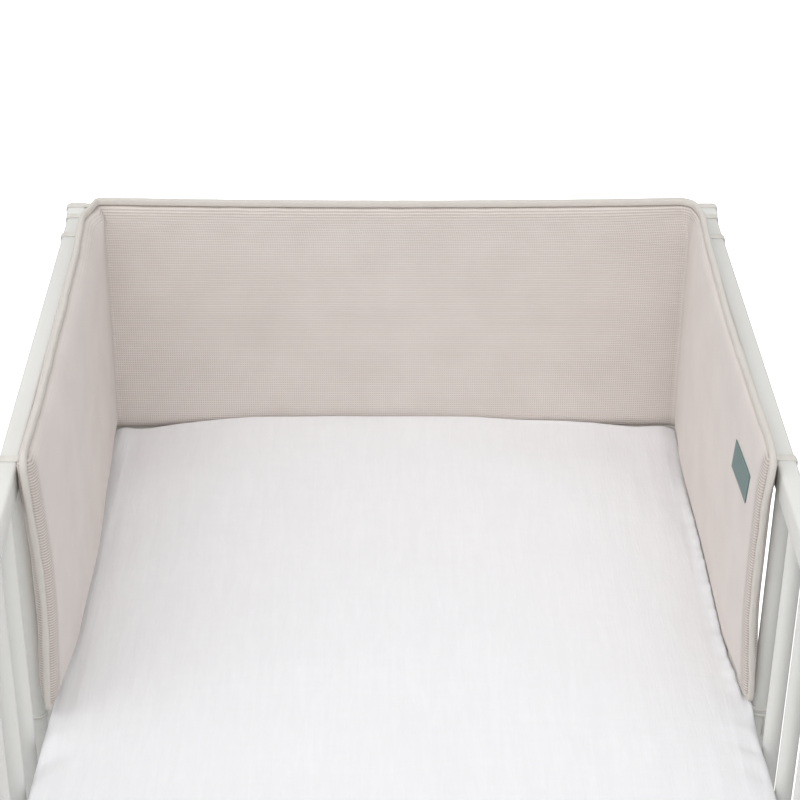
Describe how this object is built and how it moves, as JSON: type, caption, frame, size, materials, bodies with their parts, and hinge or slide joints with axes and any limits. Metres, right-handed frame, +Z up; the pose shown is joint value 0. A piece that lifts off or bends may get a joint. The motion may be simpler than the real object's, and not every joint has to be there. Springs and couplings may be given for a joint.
{
  "type": "crib bumper on a crib",
  "caption": "Padded crib bumper in ribbed cloth with a bound edge, strapped round the head end of a white barred crib over its mattress.",
  "frame": {"origin": "middle of the bounding box on the floor, under the posts", "axes": "+Z up; +Y towards the crib's head, where the bumper hangs; +X to the right seen from the foot"},
  "size_m": [0.7696, 1.452, 0.8643],
  "materials": {
    "crib_paint": "satin white paint on wood, softly rounded edges",
    "base_board": "plain plywood board",
    "fitted_sheet": "white cotton muslin with fine crinkles",
    "bumper_cloth": "matt greige cotton with a fine waffle rib along its length",
    "binding_cloth": "plain matt cotton band, stitched on",
    "label_cloth": "woven teal label, bare",
    "strap_cloth": "flat beige cotton tape"
  },
  "bodies": {
    "root": {"side_left": "crib_paint", "side_right": "crib_paint", "end_head": "crib_paint", "end_foot": "crib_paint", "post_head_left": "crib_paint", "post_head_right": "crib_paint", "post_foot_left": "crib_paint", "post_foot_right": "crib_paint", "ledger_head": "crib_paint", "ledger_foot": "crib_paint", "mattress_base": "base_board", "mattress": "fitted_sheet", "pad": "bumper_cloth", "binding": "binding_cloth", "label": "label_cloth", "strap_left_post": "strap_cloth", "strap_left_corner": "strap_cloth", "strap_left_mid": "strap_cloth", "strap_left_end": "strap_cloth", "strap_right_post": "strap_cloth", "strap_right_corner": "strap_cloth", "strap_right_mid": "strap_cloth", "strap_right_end": "strap_cloth", "tie_left": "strap_cloth", "tie_right": "strap_cloth"}
  },
  "joints": []
}
